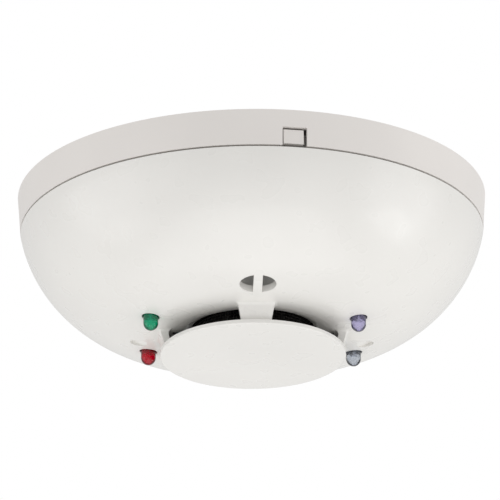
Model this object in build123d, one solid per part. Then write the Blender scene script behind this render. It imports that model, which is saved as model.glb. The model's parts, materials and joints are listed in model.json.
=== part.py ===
from build123d import *

import os
from math import acos, atan2, cos, degrees, hypot, pi, radians, sin, sqrt, tan

# Ceiling fire detector: a head with a screened sensing chamber, guarded heat sensors and four
# lamp-style lenses, on a twist-lock base.
# Millimetres. Z = 0 is the ceiling, +Z points up into it, and the detector hangs below.
# Angles are counter-clockwise seen from above, from +X; the front post stands at 270 degrees.

# ---------------------------------------------------------------- driving dimensions
# Overall
base_radius = 77.5            # base moulding at the ceiling
base_depth = 11.9             # ceiling to the lower edge of the base band
band_draft = 0.8              # how much the band narrows over its depth
seam_gap = 0.6                # groove between the base band and the cover
seam_step = 0.1               # the cover is this much smaller than the band above it
face_depth = 48.5             # ceiling to the flat underside of the dome
face_radius = 32.5            # where the dome's curve runs out into its flat underside
inlet_gap = 5.8               # height of the open gap between the dome and the cap
cap_radius = 30.6
cap_thickness = 1.5           # at the cap's edge
cap_crown = 0.7               # how much the cap's middle hangs below its edge
cap_flat_radius = 12.0        # flat middle of the cap
cap_edge = 0.5                # rounding of the cap's lower edge

# Walls and clearances
cover_wall = 2.2
band_wall = 2.0
plate_thickness = 2.4
floor_thickness = 2.0
running_gap = 0.3             # between faces that slide past each other
fit_gap = 0.1                 # between pieces that sit in one another
sheet_metal = 0.8

# Base
wide_slot_spacing = 86.0      # screw slots across X, centre to centre
narrow_slot_spacing = 64.0    # screw slots across Y, centre to centre
slot_width = 4.6
slot_length = 11.0
bayonet_radius = 56.0         # bore of the base ring that holds the lugs
contact_inset = 12.0          # contact blades inside the bayonet ring's bore
screw_inset = 10.0            # terminal screws inside the contact blades
opening_inset = 12.0          # edge of the wire opening inside the terminal screws
bayonet_wall = 2.0
lug_span = 17.0               # degrees
lug_depth = 3.0               # how far a base lug stands in from its ring
lug_thickness = 2.0
lug_first_angle = 20.0
lug_count = 4
twist_travel = 18.0           # degrees from locked to released
stop_span = 3.0               # degrees
rib_count = 8
rib_first_angle = 15.0
rib_clear_angle = 15.0        # no rib this near to the lock slot, in degrees
rib_height = 2.6
rib_width = 1.6

# Terminals and contacts
terminal_count = 4
terminal_first_angle = 45.0
terminal_width = 10.0
terminal_boss = 2.0
foot_inner = 5.0              # terminal foot inward from its screw
foot_outer = 3.0              # terminal foot outward from its blade
foot_margin = 0.5             # boss round the terminal foot
tail_width = 3.0              # contact blade where it passes through the board
blade_length = 10.0
leaf_thickness = 0.6
leaf_length = 8.0
clamp_thickness = 1.0
screw_shank_radius = 1.7
screw_head_radius = 3.5
screw_head_height = 2.2

# Tamper lock
lock_angle = 278.2            # middle of the access slot in the base band
lock_slot_width = 8.0
lock_slot_height = 6.2
lever_reach = 15.5            # pivot to tooth
lever_thickness = 1.8
lever_inset = 6.2             # lever's middle line inside the outside of the band
pad_near_gap = 1.0            # pad to the side of the slot that is nearer the pivot
pad_far_gap = 0.4
tooth_width = 3.0
tooth_length = 2.0
pin_radius = 1.5

# Head chassis and board
chassis_rim_wall = 2.0
board_radius = 60.0
board_thickness = 1.6
board_drop = 4.0              # chassis floor to the board
board_screw_radius = 50.0     # distance of the board screws from the axis
board_screw_count = 4
board_screw_angle = 20.0
component_radius = 38.0       # distance of the larger components from the axis
hook_count = 4
hook_width = 10.0
hook_thickness = 1.8
hook_bite = 1.4

# Cover openings
lip_radius = 20.5             # central opening
lip_reach = 6.4               # width of the lip that curves up to the opening
lip_rise = 1.9                # height of its inner edge above the flat underside
collar_height = 6.0
post_radius = 30.7            # outer face of a post where it leaves the dome
post_width = 12.0
post_thickness = 2.3
post_lean = 0.296             # inward lean of a post per unit of drop
post_taper = 0.39             # narrowing of a post per unit of drop
post_root = 1.4               # rounding where a post leaves the dome
tenon_thickness = 0.9         # cap's tenon in each post
tenon_width = 5.0
tenon_height = 2.0
window_radius = 43.3          # distance of a heat window from the axis
window_width = 12.0
window_length = 9.4           # measured outward from the axis
guard_width = 2.9
dimple_x = 37.2               # tool dimples, one each side
dimple_y = 8.0
dimple_radius = 2.8
dimple_tilt = 20.0            # degrees; a dimple is deepest at its outer side

# Lenses
lens_x = 34.0
lens_y = 16.0
lens_radius = 2.5
lens_flange_radius = 2.9
lens_flange_thickness = 1.0
lens_hole_radius = 2.95
lens_protrusion = 4.3         # lens tip below the flat underside of the dome
lens_length = 8.6
lead_radius = 0.25
lead_spacing = 2.54

# Sensing chamber
screen_wall = 0.3
screen_clearance = 0.7        # screen to the central opening
chamber_gap = 0.3
frame_thickness = 1.2
frame_rib_width = 7.0
vane_count = 12
vane_thickness = 1.2
scatter_tilt = 35.0           # degrees from upright
scatter_offset = 10.5

# Heat sensors
bead_radius = 1.1
cup_wall = 1.0
cup_depth = 6.0
sleeve_radius = 1.6
sleeve_bore = 1.1

# ---------------------------------------------------------------- levels and radii worked out
contact_radius = bayonet_radius - contact_inset
terminal_screw_radius = contact_radius - screw_inset
wire_opening_radius = terminal_screw_radius - opening_inset

plate_level = -plate_thickness
band_level = -base_depth
cover_level = band_level - seam_gap
face_level = -face_depth
cap_top = face_level - inlet_gap
cap_bottom = cap_top - cap_thickness - cap_crown

cover_radius = base_radius - band_draft - seam_step
dome_height = cover_level - face_level
dome_spread = cover_radius - face_radius
dome_radius = (dome_spread ** 2 + dome_height ** 2) / (2 * dome_height)
dome_centre = face_level + dome_radius

floor_level = cover_level - 2 * running_gap          # top of the chassis floor
floor_bottom = floor_level - floor_thickness
board_top = floor_bottom - board_drop
board_bottom = board_top - board_thickness

spigot_radius = bayonet_radius - lug_depth - running_gap - fit_gap
ring_bottom = band_level + 1.5
base_lug_top = ring_bottom + lug_thickness
head_lug_bottom = base_lug_top + running_gap
head_lug_top = head_lug_bottom + lug_thickness + running_gap

lever_radius = base_radius - lever_inset
lever_top = plate_level - 4.0
lever_bottom = band_level + 0.7
rim_radius = lever_radius - lever_thickness / 2 - tooth_length - 1.0
slot_turn = degrees(lever_reach / lever_radius)      # slot to pivot, about the axis

foot_top = plate_level - terminal_boss
foot_bottom = foot_top - sheet_metal
clamp_bottom = foot_bottom - clamp_thickness
blade_top = foot_bottom - 1.0

screen_radius = lip_radius - screen_clearance
chamber_radius = screen_radius - screen_wall - chamber_gap
frame_bottom = cap_top + fit_gap
frame_top = frame_bottom + frame_thickness
post_foot_radius = post_radius - post_lean * inlet_gap
frame_radius = post_foot_radius - post_thickness - 2 * fit_gap
drum_bottom = board_bottom - 8.0
lens_tip = face_level - lens_protrusion
lens_top = lens_tip + lens_length
cup_top = face_level + cover_wall + cup_depth


# ---------------------------------------------------------------- shared shapes
def disc(radius, top, bottom):
    """Upright cylinder about Z between two levels."""
    return extrude(Pos(0, 0, bottom) * Circle(radius), top - bottom)


def ring(outer, inner, top, bottom):
    """Upright ring about Z between two levels."""
    return extrude(Pos(0, 0, bottom) * (Circle(outer) - Circle(inner)), top - bottom)


def sector(outer, inner, top, bottom, middle, span):
    """Part of a ring, span degrees wide about the angle middle."""
    section = Pos((outer + inner) / 2, (top + bottom) / 2) * Rectangle(outer - inner, top - bottom)
    swept = revolve(Plane.XZ * section, Axis.Z, span)
    return Rot(0, 0, middle - span / 2) * swept


def block(radial, tangential, top, bottom, radius, angle):
    """Upright block whose middle stands at a radius and an angle."""
    return Rot(0, 0, angle) * Pos(radius, 0, (top + bottom) / 2) * Box(radial, tangential, top - bottom)


def rod(radius, top, bottom, x, y):
    """Upright round rod."""
    return Pos(x, y, 0) * disc(radius, top, bottom)


def polar(radius, angle):
    """X and Y of a point at a radius and an angle."""
    return radius * cos(radians(angle)), radius * sin(radians(angle))


def spread(count, first_angle):
    """Angles of evenly spaced pieces."""
    return [first_angle + 360 * index / count for index in range(count)]


def angle_of(length, radius):
    """Degrees that a length along a circle takes."""
    return degrees(length / radius)


# ---------------------------------------------------------------- the dome's curve
def dome_point(offset, turn):
    """Point of the dome's curve, offset inwards; turn is 0 at the flat underside."""
    radius = dome_radius - offset
    return face_radius + radius * sin(turn), dome_centre - radius * cos(turn)


def dome_level(radius):
    """Level of the dome's outside at a distance from the axis."""
    outward = max(radius - face_radius, 0)
    return dome_centre - sqrt(dome_radius ** 2 - outward ** 2)


def dome_top_turn(offset):
    """Turn at which the offset curve reaches the cover's upper edge."""
    return acos((dome_centre - cover_level) / (dome_radius - offset))


def dome_arc(offset):
    """The dome's curve from its upper edge to its flat underside."""
    turn = dome_top_turn(offset)
    return ThreePointArc(dome_point(offset, turn), dome_point(offset, turn / 2), dome_point(offset, 0))


def dome_reach(offset, level):
    """Distance from the axis of the offset curve at a level."""
    return face_radius + sqrt((dome_radius - offset) ** 2 - (dome_centre - level) ** 2)


def dome_filling(offset):
    """Everything inside the dome's outside, offset inwards."""
    arc = dome_arc(offset)
    outline = Polyline(arc @ 1, (0, face_level + offset), (0, cover_level), arc @ 0)
    return revolve(Plane.XZ * make_face([arc, outline]), Axis.Z)


# ---------------------------------------------------------------- base
def base_band():
    outer = Polyline((base_radius, 0), (base_radius - band_draft, band_level),
                     (base_radius - band_draft - band_wall, band_level),
                     (base_radius - band_wall, 0), close=True)
    return revolve(Plane.XZ * make_face(outer), Axis.Z)


def screw_slot(spacing, angle):
    """One slot for a box screw, long along its own radius."""
    slot = Pos(spacing / 2, 0, plate_level - 1) * SlotOverall(slot_length, slot_width)
    return Rot(0, 0, angle) * extrude(slot, plate_thickness + 2)


def lug_angles():
    return spread(lug_count, lug_first_angle)


def base_lug(angle):
    """Inward lug that carries the head, with the stop that ends the twist."""
    inner = bayonet_radius - lug_depth
    outer = bayonet_radius + bayonet_wall / 2
    lug = sector(outer, inner, base_lug_top, ring_bottom, angle, lug_span)
    stop_middle = angle + lug_span / 2 + angle_of(running_gap, inner) + stop_span / 2
    stop = sector(outer, inner, plate_level, ring_bottom, stop_middle, stop_span)
    return lug + stop


def lever_pivot():
    """X and Y of the lock lever's pivot."""
    return polar(lever_radius, lock_angle + slot_turn)


def foot_reach(margin):
    """Inner and outer ends of a terminal foot, with a margin round it."""
    return terminal_screw_radius - foot_inner - margin, contact_radius + foot_outer + margin


def base_moulding():
    plate = disc(base_radius - band_wall / 2, 0, plate_level) - disc(wire_opening_radius, 1, plate_level - 1)
    body = base_band() + plate
    body += ring(bayonet_radius + bayonet_wall, bayonet_radius, plate_level, ring_bottom)
    for angle in lug_angles():
        body += base_lug(angle)
    ring_outer = bayonet_radius + bayonet_wall
    rib_length = base_radius - band_wall - ring_outer
    for angle in spread(rib_count, rib_first_angle):
        if abs(angle - lock_angle) > rib_clear_angle:
            body += block(rib_length + 1, rib_width, plate_level, plate_level - rib_height,
                          ring_outer + rib_length / 2, angle)
    for angle in spread(terminal_count, terminal_first_angle):
        inner, outer = foot_reach(foot_margin)
        body += block(outer - inner, terminal_width + 2 * foot_margin, plate_level, foot_top,
                      (inner + outer) / 2, angle)
        body -= rod(screw_shank_radius + fit_gap, foot_top + 1 + terminal_boss, foot_top - 1,
                    *polar(terminal_screw_radius, angle))
    for angle in (0, 180):
        body -= screw_slot(wide_slot_spacing, angle)
    for angle in (90, 270):
        body -= screw_slot(narrow_slot_spacing, angle)
    pivot_x, pivot_y = lever_pivot()
    body += rod(2 * pin_radius, plate_level, lever_top + running_gap, pivot_x, pivot_y)
    body -= rod(pin_radius + fit_gap / 5, plate_level + 1.2, lever_top, pivot_x, pivot_y)
    body -= block(4 * band_wall, lock_slot_width, band_level + lock_slot_height, band_level - 1,
                  base_radius - band_wall / 2, lock_angle)
    return body


def terminal_clip(angle):
    """Sheet-metal terminal: a foot under the clamp screw and two leaves that grip a blade."""
    inner, outer = foot_reach(0)
    foot = block(outer - inner, terminal_width, foot_top, foot_bottom, (inner + outer) / 2, angle)
    foot -= rod(screw_shank_radius + fit_gap, foot_top + 1, foot_bottom - 1,
                *polar(terminal_screw_radius, angle))
    leaf_bottom = band_level + 1.2
    clip = foot
    for side in (-1, 1):
        middle_radius = contact_radius + side * (sheet_metal / 2 + fit_gap + leaf_thickness / 2)
        span = angle_of(leaf_length, middle_radius)
        clip += sector(middle_radius + leaf_thickness / 2, middle_radius - leaf_thickness / 2,
                       foot_bottom, leaf_bottom, angle, span)
    return clip


def terminal_clamp(angle):
    """Square washer with turned-down ends that holds a wire under the screw."""
    plate = Box(8.0, terminal_width - 1, clamp_thickness)
    for side in (-1, 1):
        plate += Pos(0, side * (terminal_width / 2 - 0.1), -0.4) * Box(8.0, 0.8, clamp_thickness + 0.8)
    plate -= Cylinder(screw_shank_radius + fit_gap, 4 * clamp_thickness)
    x, y = polar(terminal_screw_radius, angle)
    return Pos(x, y, foot_bottom - clamp_thickness / 2) * Rot(0, 0, angle) * plate


def cross_recess(head_bottom, width):
    """Cross-shaped driver recess, open downwards."""
    depth = 1.2
    arm = Pos(0, 0, head_bottom + depth / 2 - 0.5) * Box(width, 0.9, depth + 1)
    return arm + Rot(0, 0, 90) * arm


def pan_screw(shank_radius, shank_top, seat_level, head_radius, head_height):
    """Screw pointing up, its pan head hanging below its seat."""
    head_bottom = seat_level - head_height
    head = disc(head_radius, seat_level, head_bottom)
    head = fillet(head.edges().sort_by(Axis.Z)[0], head_height / 3)
    head -= cross_recess(head_bottom, head_radius * 1.3)
    return head + disc(shank_radius, shank_top, seat_level)


def terminal_screws():
    screw = pan_screw(screw_shank_radius, foot_top + terminal_boss + 0.8, clamp_bottom,
                      screw_head_radius, screw_head_height)
    return [Pos(*polar(terminal_screw_radius, angle), 0) * screw
            for angle in spread(terminal_count, terminal_first_angle)]


# ---------------------------------------------------------------- tamper lock
def lock_lever():
    """Lever behind the access slot: hub, arm, a pad in the slot and a tooth towards the head."""
    pivot_x, pivot_y = polar(lever_radius, slot_turn)
    arm_dx = lever_radius - pivot_x
    arm_length = hypot(arm_dx, pivot_y)
    arm_turn = degrees(atan2(-pivot_y, arm_dx))
    height = lever_top - lever_bottom
    middle = (lever_top + lever_bottom) / 2
    arm = Pos((pivot_x + lever_radius) / 2, pivot_y / 2, middle) * Rot(0, 0, arm_turn) \
        * Box(arm_length, lever_thickness, height)
    hub = rod(2 * pin_radius, lever_top, lever_bottom, pivot_x, pivot_y)
    pad_face = base_radius - 1.3
    pad_length = pad_face - lever_radius + lever_thickness / 2
    pad_width = lock_slot_width - pad_near_gap - pad_far_gap
    pad = Pos(pad_face - pad_length / 2, (pad_far_gap - pad_near_gap) / 2, middle) \
        * Box(pad_length, pad_width, height)
    tooth_tip = lever_radius - lever_thickness / 2 - tooth_length
    tooth = Pos((tooth_tip + lever_radius) / 2, 0, middle) \
        * Box(lever_radius - tooth_tip, tooth_width, height - 1)
    lever = arm + hub + pad + tooth
    lever -= rod(pin_radius + 0.08, lever_top + 1, lever_bottom - 1, pivot_x, pivot_y)
    return Rot(0, 0, lock_angle) * lever


def lock_pin():
    """Headed pin that the lever turns on."""
    x, y = lever_pivot()
    shank = rod(pin_radius, plate_level + 1.1, lever_bottom - fit_gap, x, y)
    head = rod(1.7 * pin_radius, lever_bottom - fit_gap, lever_bottom - fit_gap - 0.7, x, y)
    return shank + head


# ---------------------------------------------------------------- head chassis
def hook_angles():
    return spread(hook_count, 45.0)


def chassis_reach():
    """The chassis floor's radius: what fits inside the cover under the floor."""
    return dome_reach(cover_wall, floor_bottom) - running_gap


def hook_radius():
    """Outer face of a cover hook's leg."""
    return chassis_reach() - hook_bite - 1.0


def board_screw_places():
    return [polar(board_screw_radius, angle) for angle in spread(board_screw_count, board_screw_angle)]


def head_chassis():
    body = disc(chassis_reach(), floor_level, floor_bottom)
    body += ring(spigot_radius, spigot_radius - 2, head_lug_top + 2, floor_level)
    body += ring(rim_radius, rim_radius - chassis_rim_wall, lever_top + running_gap, floor_level)
    for angle in lug_angles():
        body += sector(bayonet_radius - running_gap - fit_gap, spigot_radius - 1,
                       head_lug_top, head_lug_bottom, angle, lug_span)
    for x, y in board_screw_places():
        body += rod(3.5, floor_bottom, board_top, x, y)
        body -= rod(1.2, floor_bottom - 0.5, board_top - 1, x, y)
    for angle in (lock_angle, lock_angle + twist_travel):
        body -= block(4 * chassis_rim_wall, tooth_width + 4 * running_gap, lever_top + 1, floor_level,
                      rim_radius, angle)
    slot_outer = hook_radius() + running_gap
    slot_inner = hook_radius() - hook_thickness - 2 * running_gap
    for angle in hook_angles():
        body -= block(slot_outer - slot_inner, hook_width + 2 * running_gap, floor_level + 1,
                      floor_bottom - 1, (slot_outer + slot_inner) / 2, angle)
    for angle in spread(terminal_count, terminal_first_angle):
        half = sheet_metal / 2 + fit_gap
        body -= sector(contact_radius + half, contact_radius - half, floor_level + 1, floor_bottom - 1,
                       angle, angle_of(blade_length + 2 * fit_gap, contact_radius))
    return body


def contact_blade(angle):
    """Curved blade that stands up into a base terminal, with a tail down to the board."""
    half = sheet_metal / 2
    blade = sector(contact_radius + half, contact_radius - half, blade_top, floor_bottom, angle,
                   angle_of(blade_length, contact_radius))
    tail = sector(contact_radius + half, contact_radius - half, floor_bottom, board_bottom - 1, angle,
                  angle_of(tail_width, contact_radius))
    return blade + tail


# ---------------------------------------------------------------- board
def lens_places():
    return {
        "left_front": (-lens_x, -lens_y),
        "left_rear": (-lens_x, lens_y),
        "right_front": (lens_x, -lens_y),
        "right_rear": (lens_x, lens_y),
    }


def circuit_board():
    board = disc(board_radius, board_top, board_bottom)
    for x, y in board_screw_places():
        board -= rod(1.6, board_top + 1, board_bottom - 1, x, y)
    for angle in spread(terminal_count, terminal_first_angle):
        half = sheet_metal / 2 + fit_gap
        board -= sector(contact_radius + half, contact_radius - half, board_top + 1, board_bottom - 1,
                        angle, angle_of(tail_width + 2 * fit_gap, contact_radius))
    return board


def board_screws():
    screw = pan_screw(1.1, floor_bottom - 1, board_bottom, 2.8, 1.9)
    return [Pos(x, y, 0) * screw for x, y in board_screw_places()]


def microcontroller():
    """Flat square chip with leads on four sides."""
    body_side = 10.0
    chip = Pos(0, 0, -0.8) * Box(body_side, body_side, 1.2)
    for turn in range(4):
        for index in range(8):
            lead = Pos(body_side / 2 + 0.4, (index - 3.5) * 1.1, -0.35) * Box(1.2, 0.4, 0.7)
            chip += Rot(0, 0, 90 * turn) * lead
    return Pos(*polar(component_radius, 60), board_bottom) * chip


def capacitors():
    """Two can capacitors side by side."""
    can = disc(3.15, 0, -7)
    can = fillet(can.edges().sort_by(Axis.Z)[0], 0.6)
    places = (polar(component_radius, 290), polar(component_radius, 304))
    return [Pos(x, y, board_bottom) * can for x, y in places]


def surge_suppressor():
    body = Pos(0, 0, -1.2) * Box(4.6, 3.6, 2.2)
    body += Pos(0, 0, -0.3) * Box(5.6, 2.0, 0.6)
    return Pos(*polar(component_radius, 240), board_bottom) * body


def reed_switch():
    """Glass switch tube lying under the board, for a test magnet."""
    tube = Rot(0, 90, 0) * Cylinder(1.1, 12)
    lead = Rot(0, 90, 0) * Cylinder(lead_radius, 17)
    legs = Pos(-8.5, 0, 1.0) * Box(0.5, 0.5, 2.5) + Pos(8.5, 0, 1.0) * Box(0.5, 0.5, 2.5)
    switch = Rot(0, 0, 30) * (tube + lead + legs)
    return Pos(*polar(component_radius, 120), board_bottom - 2.25) * switch


# ---------------------------------------------------------------- lenses
def lens_package(x, y):
    """Round-nosed lens package, its two leads running up to the board."""
    shoulder = lens_tip + lens_radius
    body = disc(lens_radius, lens_top, shoulder) + Pos(0, 0, shoulder) * Sphere(lens_radius)
    body += disc(lens_flange_radius, lens_top, lens_top - lens_flange_thickness)
    for side in (-1, 1):
        body += rod(lead_radius, board_bottom, lens_top, 0, side * lead_spacing / 2)
    return Pos(x, y, 0) * body


def lens_spacer(x, y):
    """Tube that holds a lens package off the board."""
    return Pos(x, y, 0) * ring(lens_flange_radius, lead_spacing / 2 + 4 * lead_radius, board_bottom, lens_top)


# ---------------------------------------------------------------- sensing chamber
def scatter_place(side, along):
    """Location on the tilted axis of the emitter or the receiver."""
    return Pos(side * scatter_offset, 0, drum_bottom) * Rot(0, side * scatter_tilt, 0) * Pos(0, 0, along)


def chamber_base():
    """Black drum under the board that holds the emitter and the receiver."""
    drum = disc(chamber_radius, board_bottom, drum_bottom)
    drum += disc(chamber_radius + 4, board_bottom, board_bottom - 2)
    for side in (-1, 1):
        drum -= scatter_place(side, 2.0) * Cylinder(lens_radius + fit_gap, 22)
    return drum


def scatter_diode(side):
    """Emitter or receiver package, its nose pointing down towards the axis."""
    body = Cylinder(lens_radius, 5.0) + Pos(0, 0, -2.5) * Sphere(lens_radius)
    return scatter_place(side, 5.5) * body


def labyrinth():
    """Black vanes that keep light out of the chamber, on a round floor."""
    floor = frame_top + fit_gap
    body = disc(chamber_radius, floor + 1.4, floor)
    vane_top = drum_bottom - fit_gap
    outer = chamber_radius - 0.4
    inner = chamber_radius - 6.5
    for angle in spread(vane_count, 0.0):
        for radius, lean in ((outer - 1.5, 40), (inner + 1.5, -40)):
            vane = Rot(0, 0, lean) * Box(4.6, vane_thickness, vane_top - floor)
            body += Rot(0, 0, angle) * Pos(radius - 0.4, 0, (vane_top + floor) / 2) * vane
    body &= disc(chamber_radius, vane_top, floor)
    return body


def insect_screen():
    """Fine metal screen around the chamber, standing in its frame."""
    return ring(screen_radius, screen_radius - screen_wall, drum_bottom, frame_top)


def screen_frame():
    """Black disc under the screen with a hoop round it and an arm behind each post."""
    hoop_inner = screen_radius + fit_gap
    hoop_outer = hoop_inner + 0.8
    body = disc(hoop_outer, frame_top, frame_bottom)
    body += ring(hoop_outer, hoop_inner, frame_top + 1, frame_top)
    arm_inner = hoop_inner + 0.2
    arm_length = frame_radius - arm_inner
    for angle in spread(4, 0.0):
        body += block(arm_length, frame_rib_width, face_level - 2 * fit_gap, frame_bottom,
                      arm_inner + arm_length / 2, angle)
    body -= disc(hoop_inner, face_level, frame_top)
    return body


# ---------------------------------------------------------------- heat sensors
def heat_sensor(angle):
    """Glass bead on two leads, close behind a window's guard bar."""
    x, y = polar(window_radius, angle)
    bead_middle = dome_level(window_radius) + cover_wall + bead_radius + 0.6
    body = Pos(0, 0, bead_middle) * Sphere(bead_radius)
    for side in (-1, 1):
        body += rod(lead_radius, board_bottom, bead_middle, 0, side * 0.6)
    return Pos(x, y, 0) * body


def sensor_sleeve(angle):
    """Insulating tube round the leads of a heat sensor."""
    x, y = polar(window_radius, angle)
    return Pos(x, y, 0) * ring(sleeve_radius, sleeve_bore, board_bottom, cup_top - cup_wall - 0.5)


def sensor_cup(angle):
    """Cup over the inside of a window, which keeps the air there out of the housing."""
    bore = window_width / 2 + 0.5
    cup = disc(bore + cup_wall, cup_top, face_level) - disc(bore, cup_top - cup_wall, face_level - 1)
    cup -= disc(sleeve_radius + fit_gap, cup_top + 1, face_level)
    x, y = polar(window_radius, angle)
    return (Pos(x, y, 0) * cup) & dome_filling(cover_wall + fit_gap / 2)


# ---------------------------------------------------------------- cover and cap
def cover_shell():
    """Domed shell with a lip that curves up to a short collar round the central opening."""
    outer = dome_arc(0)
    inner = dome_arc(cover_wall)
    lip_curve = (lip_reach ** 2 + lip_rise ** 2) / (2 * lip_rise)
    half_turn = atan2(lip_reach, lip_curve - lip_rise) / 2
    lip_start = lip_radius + lip_reach
    lip_middle = (lip_start - lip_curve * sin(half_turn), face_level + lip_curve * (1 - cos(half_turn)))
    lip = ThreePointArc((lip_start, face_level), lip_middle, (lip_radius, face_level + lip_rise))
    collar_top = face_level + cover_wall + collar_height
    collar_outer = lip_radius + cover_wall
    under = Line(outer @ 1, lip @ 0)
    collar = Polyline(lip @ 1, (lip_radius, collar_top), (collar_outer, collar_top),
                      (collar_outer, face_level + cover_wall + lip_rise / 2),
                      (lip_start, face_level + cover_wall), inner @ 1)
    edge = Line(inner @ 0, outer @ 0)
    return revolve(Plane.XZ * make_face([outer, under, lip, collar, inner, edge]), Axis.Z)


def post_outside(level):
    """Distance from the axis of a post's outer face, which leans in as it drops."""
    return post_radius - post_lean * (face_level - level)


def post_half_width(level):
    return (post_width - post_taper * (face_level - level)) / 2


def post(angle):
    """Leaning, tapered post with a socket for the cap's tenon."""
    top = face_level + cover_wall / 2
    side = Polyline((post_outside(top), top), (post_outside(cap_top), cap_top),
                    (post_outside(cap_top) - post_thickness, cap_top),
                    (post_outside(top) - post_thickness, top), close=True)
    front = Polyline((post_half_width(top), top), (post_half_width(cap_top), cap_top),
                     (-post_half_width(cap_top), cap_top), (-post_half_width(top), top), close=True)
    body = extrude(Plane.XZ * make_face(side), post_width, both=True) \
        & extrude(Plane.YZ * make_face(front), 2 * post_radius)
    socket = Pos(post_foot_radius - post_thickness / 2, 0, cap_top) \
        * Box(tenon_thickness + 2 * fit_gap, tenon_width + 2 * fit_gap, 2 * (tenon_height + 2 * fit_gap))
    return Rot(0, 0, angle) * (body - socket)


def post_roots(body):
    """The edges where the posts leave the flat underside: the only straight ones at its level."""
    straight = body.edges().filter_by(GeomType.LINE)
    return straight.filter_by_position(Axis.Z, face_level - fit_gap, face_level + fit_gap)


def window_opening(angle):
    """Oval heat window, less the guard bar that crosses it."""
    oval = Pos(window_radius, 0, face_level - 2) * Ellipse(window_length / 2, window_width / 2)
    opening = extrude(oval, 12)
    guard = Pos(window_radius, 0, face_level) * Box(window_length + 2, guard_width, 30)
    return Rot(0, 0, angle) * (opening - guard)


def tool_dimple(side):
    """Round dimple whose floor rises outwards from nothing, for a spanner's pin."""
    inner_level = dome_level(hypot(dimple_x - dimple_radius, dimple_y))
    floor_middle = inner_level + dimple_radius * tan(radians(dimple_tilt))
    reach = 2 * dimple_radius
    pin = Rot(0, -side * dimple_tilt, 0) * Pos(0, 0, -reach / 2) * Cylinder(dimple_radius, reach)
    return Pos(side * dimple_x, dimple_y, floor_middle) * pin


def cover_hook(angle):
    """Leg from the dome up through the chassis floor, with a barb that bites over it."""
    outer = hook_radius()
    leg = block(hook_thickness, hook_width, floor_level + 1.0, dome_level(outer), outer - hook_thickness / 2,
                angle)
    barb_length = hook_bite + hook_thickness
    barb = block(barb_length, hook_width, floor_level + 1.0, floor_level + fit_gap,
                 outer + hook_bite - barb_length / 2, angle)
    return leg + barb


def cover_rest(angle):
    """Upright rib inside the dome that the chassis floor stands on."""
    reach = chassis_reach()
    return block(6.0, rib_width, floor_bottom - fit_gap / 2, dome_level(reach - 7), reach - 4, angle)


def cover():
    body = cover_shell()
    inside = dome_filling(cover_wall / 2)
    for angle in hook_angles():
        leg = cover_hook(angle)
        upper = block(12, hook_width + 2, floor_level + 2, floor_bottom, hook_radius(), angle)
        body += (leg & inside) + (leg & upper)
    for angle in spread(4, 0.0):
        body += cover_rest(angle) & inside
        body += post(angle)
    body = fillet(post_roots(body), post_root)
    for angle in (90, 270):
        body -= window_opening(angle)
    for x, y in lens_places().values():
        body -= rod(lens_hole_radius, face_level + 10, face_level - 2, x, y)
    for side in (-1, 1):
        body -= tool_dimple(side)
    return body


def cap_profile():
    """Half section of the cap: flat top, thin rounded edge and a gently crowned underside."""
    edge_level = cap_top - cap_thickness
    spread_out = cap_radius - cap_edge - cap_flat_radius
    crown_radius = (spread_out ** 2 + cap_crown ** 2) / (2 * cap_crown)
    half_turn = atan2(spread_out, crown_radius - cap_crown) / 2
    crown_middle = (cap_flat_radius + crown_radius * sin(half_turn),
                    cap_bottom + crown_radius * (1 - cos(half_turn)))
    rounding_middle = (cap_radius - cap_edge * (1 - sin(pi / 4)), edge_level + cap_edge * (1 - cos(pi / 4)))
    crown = ThreePointArc((cap_flat_radius, cap_bottom), crown_middle, (cap_radius - cap_edge, edge_level))
    rounding = ThreePointArc(crown @ 1, rounding_middle, (cap_radius, edge_level + cap_edge))
    rest = Polyline(rounding @ 1, (cap_radius, cap_top), (0, cap_top), (0, cap_bottom), crown @ 0)
    return make_face([crown, rounding, rest])


def cap():
    """Crowned disc under the posts, with a tenon up into each post."""
    body = revolve(Plane.XZ * cap_profile(), Axis.Z)
    for angle in spread(4, 0.0):
        body += block(tenon_thickness, tenon_width, cap_top + tenon_height, cap_top - cap_thickness / 3,
                      post_foot_radius - post_thickness / 2, angle)
    return body


# ---------------------------------------------------------------- all nodes
def all_nodes():
    nodes = {
        "base_moulding": base_moulding(),
        "terminal_screws": terminal_screws(),
        "lock_lever": lock_lever(),
        "lock_pin": lock_pin(),
        "head_chassis": head_chassis(),
        "circuit_board": circuit_board(),
        "board_screws": board_screws(),
        "microcontroller": microcontroller(),
        "capacitors": capacitors(),
        "surge_suppressor": surge_suppressor(),
        "reed_switch": reed_switch(),
        "chamber_base": chamber_base(),
        "scatter_emitter": scatter_diode(-1),
        "scatter_receiver": scatter_diode(1),
        "labyrinth": labyrinth(),
        "insect_screen": insect_screen(),
        "screen_frame": screen_frame(),
        "cover": cover(),
        "cap": cap(),
    }
    for number, angle in enumerate(spread(terminal_count, terminal_first_angle), start=1):
        nodes[f"terminal_clip_{number}"] = terminal_clip(angle)
        nodes[f"terminal_clamp_{number}"] = terminal_clamp(angle)
        nodes[f"contact_blade_{number}"] = contact_blade(angle)
    for place, (x, y) in lens_places().items():
        nodes[f"lens_{place}"] = lens_package(x, y)
        nodes[f"lens_spacer_{place}"] = lens_spacer(x, y)
    for place, angle in (("front", 270), ("rear", 90)):
        nodes[f"heat_sensor_{place}"] = heat_sensor(angle)
        nodes[f"sensor_sleeve_{place}"] = sensor_sleeve(angle)
        nodes[f"sensor_cup_{place}"] = sensor_cup(angle)
    return nodes


def write_nodes():
    os.makedirs("parts", exist_ok=True)
    for name, shape in all_nodes().items():
        solids = shape if isinstance(shape, list) else shape.solids()
        export_step(Compound(children=list(solids)), f"parts/{name}.step")


write_nodes()
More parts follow.
